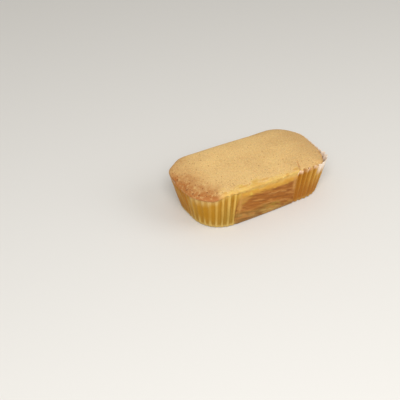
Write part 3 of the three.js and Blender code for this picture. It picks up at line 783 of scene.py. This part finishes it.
    # painted shade in the pits
    marks["poreShade"] = np.concatenate((under, pores))
    tipRing = len(foot) + len(wall) + int(np.argmax(dropShare))
    return ringSkin("lemonSponge", rings, [(0, 0, inset)], marks, tipRing)


cakePiece = buildCake(caseForm, cakeLook)
print("cake:", len(cakePiece.data.polygons), "faces")


# Display colour from 0 to 255 to the linear values that a shader takes
def paint(colour):
    share = np.array(colour) / 255
    linear = np.where(share <= 0.04045, share / 12.92, ((share + 0.055) / 1.055) ** 2.4)
    return (*linear.tolist(), 1.0)


# A node with its own settings
def addNode(tree, kind, **settings):
    node = tree.nodes.new(kind)
    for name, value in settings.items():
        setattr(node, name, value)
    return node


# Values on a node's own sockets
def setInputs(node, values):
    for name, value in values.items():
        node.inputs[name].default_value = value


# The value of a mesh attribute
def markValue(tree, name):
    return addNode(tree, "ShaderNodeAttribute", attribute_name=name).outputs["Fac"]


# low where the factor is 0 and high where it is 1, each a colour or another node's output
def mixPaint(tree, factor, low, high):
    node = addNode(tree, "ShaderNodeMix", data_type="RGBA")
    tree.links.new(factor, node.inputs[0])
    for socket, colour in ((node.inputs[6], low), (node.inputs[7], high)):
        if isinstance(colour, tuple):
            socket.default_value = paint(colour)
        else:
            tree.links.new(colour, socket)
    return node.outputs[2]


# A value mapped from low..high to 0..share, smoothed and clamped
def spread(tree, value, share, low, high):
    node = addNode(tree, "ShaderNodeMapRange", interpolation_type="SMOOTHSTEP")
    tree.links.new(value, node.inputs["Value"])
    setInputs(node, {"From Min": low, "From Max": high, "To Max": share})
    return node.outputs["Result"]


# Sum or product of two values, clamped to 0..1; a plain number goes on the socket
def calculate(tree, operation, first, second):
    node = addNode(tree, "ShaderNodeMath", operation=operation, use_clamp=True)
    for socket, value in zip(node.inputs, (first, second)):
        if isinstance(value, (int, float)):
            socket.default_value = value
        else:
            tree.links.new(value, socket)
    return node.outputs[0]


grainLook = {"detail": 3.0, "roughness": 0.6, "bumpHeight": 0.0004}


# Baked grain: noise on object coordinates, stretched by a vector, with a bump made of it
def makeGrainGroup(look):
    tree = bpy.data.node_groups.new("bakedGrain", "ShaderNodeTree")
    face = tree.interface
    for name, direction, kind in (
        ("Scale", "INPUT", "Float"), ("Stretch", "INPUT", "Vector"), ("Bump", "INPUT", "Float"),
        ("Grain", "OUTPUT", "Float"), ("Normal", "OUTPUT", "Vector"),
    ):
        face.new_socket(name, in_out=direction, socket_type="NodeSocket" + kind)
    given, made = addNode(tree, "NodeGroupInput"), addNode(tree, "NodeGroupOutput")
    place = addNode(tree, "ShaderNodeTexCoord")
    stretched = addNode(tree, "ShaderNodeVectorMath", operation="MULTIPLY")
    speckle = addNode(tree, "ShaderNodeTexNoise")
    setInputs(speckle, {"Detail": look["detail"], "Roughness": look["roughness"]})
    bump = addNode(tree, "ShaderNodeBump")
    setInputs(bump, {"Distance": look["bumpHeight"]})
    for start, output, end, socket in (
        (place, "Object", stretched, 0), (given, "Stretch", stretched, 1),
        (stretched, "Vector", speckle, "Vector"), (given, "Scale", speckle, "Scale"),
        (speckle, "Fac", bump, "Height"), (given, "Bump", bump, "Strength"),
        (speckle, "Fac", made, "Grain"), (bump, "Normal", made, "Normal"),
    ):
        tree.links.new(start.outputs[output], end.inputs[socket])
    return tree


grainGroup = makeGrainGroup(grainLook)


# The grain group with its scale, stretch and bump
def addGrain(tree, scale, stretch, bump):
    node = addNode(tree, "ShaderNodeGroup", node_tree=grainGroup)
    setInputs(node, {"Scale": scale, "Stretch": stretch, "Bump": bump})
    return node


# A material with its node tree and its shader
def newMaterial(name, roughness, gloss):
    material = bpy.data.materials.new(name)
    material.use_nodes = True
    shader = material.node_tree.nodes["Principled BSDF"]
    setInputs(shader, {"Roughness": roughness, "Specular IOR Level": gloss})
    return material, material.node_tree, shader


# Crust: pale to tan by its tone and grain, then specks, yolk, gold, patchy brown, then painted shade under
# the lip, along the crease and in the pits
def crustMaterial(look):
    material, tree, shader = newMaterial("bakedCrust", look["roughness"], look["gloss"])
    coarse, fine = addGrain(tree, *look["coarseGrain"]), addGrain(tree, *look["fineGrain"])
    mottle = calculate(tree, "MULTIPLY", markValue(tree, "tone"), look["toneShare"])
    grains = spread(tree, fine.outputs["Grain"], *look["grainRange"])
    mottle = calculate(tree, "ADD", mottle, grains)
    specks = spread(tree, coarse.outputs["Grain"], *look["speckRange"])
    patchy = spread(tree, coarse.outputs["Grain"], *look["patchRange"])
    patchy = calculate(tree, "ADD", patchy, look["patchBase"])
    browned = calculate(tree, "MULTIPLY", markValue(tree, "browned"), patchy)
    pores = spread(tree, markValue(tree, "poreShade"), *look["poreShadeRange"])
    shares = {"speck": specks, "brown": browned, "poreShade": pores}
    colour = mixPaint(tree, mottle, look["pale"], look["tan"])
    for name, layer in look["layers"]:
        share = shares[name] if name in shares else markValue(tree, name)
        colour = mixPaint(tree, share, colour, layer)
    tree.links.new(colour, shader.inputs["Base Color"])
    tree.links.new(fine.outputs["Normal"], shader.inputs["Normal"])
    setInputs(shader, {"Subsurface Weight": look["scatter"], "Subsurface Radius": look["scatterRadius"],
                       "Subsurface Scale": look["scatterScale"]})
    return material


# Paper: ridge colour to a darker hollow colour that paints shade into the pleats, more orange on the right,
# with soiled grain, and the layers over them
def paperMaterial(look):
    material, tree, shader = newMaterial("bakingPaper", look["roughness"], look["gloss"])
    upright, level = addGrain(tree, *look["uprightGrain"]), addGrain(tree, *look["levelGrain"])
    orange = markValue(tree, "orange")
    ridge = mixPaint(tree, orange, look["ridge"], look["ridgeRight"])
    groove = mixPaint(tree, orange, look["groove"], look["hollowShadeRight"])
    soiled = spread(tree, upright.outputs["Grain"], *look["soilRange"])
    hollow = spread(tree, markValue(tree, "groove"), *look["hollowShadeRange"])
    colour = mixPaint(tree, calculate(tree, "ADD", hollow, soiled), ridge, groove)
    for name, layer in look["layers"]:
        colour = mixPaint(tree, markValue(tree, name), colour, layer)
    tree.links.new(colour, shader.inputs["Base Color"])
    tree.links.new(level.outputs["Normal"], shader.inputs["Normal"])
    setInputs(shader, {"Sheen Weight": look["sheenWeight"], "Sheen Roughness": look["sheenRoughness"],
                       "Sheen Tint": paint(look["sheen"])})
    return material


cakePiece.data.materials.append(crustMaterial(cakeLook))
paperPiece.data.materials.append(paperMaterial(paperLook))
for piece, node, slotName in ((cakePiece, "cake", "crust"), (paperPiece, "paper_case", "paper")):
    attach(piece, "root")
    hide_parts(node)
print("materials set")

# metres and watts
studio = {
    "floorSize": 6.0, "floorDrop": 0.0003, "floor": (222, 220, 216), "floorRoughness": 0.8, "floorGloss": 0.2,
    "world": (255, 252, 246), "worldStrength": 0.5,
    "keyPlace": (-0.4, -0.6, 0.75), "keySize": 0.5, "keyPower": 7.0,
    "fillPlace": (0.6, -0.6, 0.6), "fillSize": 0.7, "fillPower": 3.0,
}


# A square lamp at a place, turned towards the cake
def addLamp(name, place, size, power):
    light = bpy.data.lights.new(name, "AREA")
    light.size, light.energy = size, power
    lamp = bpy.data.objects.new(name, light)
    lamp.location = place
    toCake = -lamp.location
    lamp.rotation_euler = toCake.to_track_quat("-Z", "Y").to_euler()
    bpy.context.scene.collection.objects.link(lamp)


# A pale square floor, an even soft room and two lamps
def setStage(look):
    half, drop = look["floorSize"] / 2, -look["floorDrop"]
    corners = [(-half, -half, drop), (half, -half, drop), (half, half, drop), (-half, half, drop)]
    mesh = bpy.data.meshes.new("floor")
    mesh.from_pydata(corners, [], [(0, 1, 2, 3)])
    floor = bpy.data.objects.new("floor", mesh)
    bpy.context.scene.collection.objects.link(floor)
    material, _, shader = newMaterial("paleFloor", look["floorRoughness"], look["floorGloss"])
    setInputs(shader, {"Base Color": paint(look["floor"])})
    mesh.materials.append(material)
    world = bpy.data.worlds.new("softRoom")
    world.use_nodes = True
    sky = {"Color": paint(look["world"]), "Strength": look["worldStrength"]}
    setInputs(world.node_tree.nodes["Background"], sky)
    bpy.context.scene.world = world
    addLamp("key", look["keyPlace"], look["keySize"], look["keyPower"])
    addLamp("fill", look["fillPlace"], look["fillSize"], look["fillPower"])
    bpy.context.scene.view_settings.view_transform = "Standard"


setStage(studio)
print("stage and light set")

# metres, degrees and millimetres of lens
shot = {
    "place": (-0.29223, -0.41083, 0.36080), "tilt": 53.850, "turn": -31.218,
    "lens": 71.33, "sensor": 36.0,
}


# The camera at the photo's viewing angle
def setCamera(look):
    data = bpy.data.cameras.new("photoView")
    data.lens, data.sensor_width = look["lens"], look["sensor"]
    camera = bpy.data.objects.new("photoView", data)
    camera.location = look["place"]
    camera.rotation_euler = (math.radians(look["tilt"]), 0, math.radians(look["turn"]))
    bpy.context.scene.collection.objects.link(camera)
    bpy.context.scene.camera = camera


setCamera(shot)
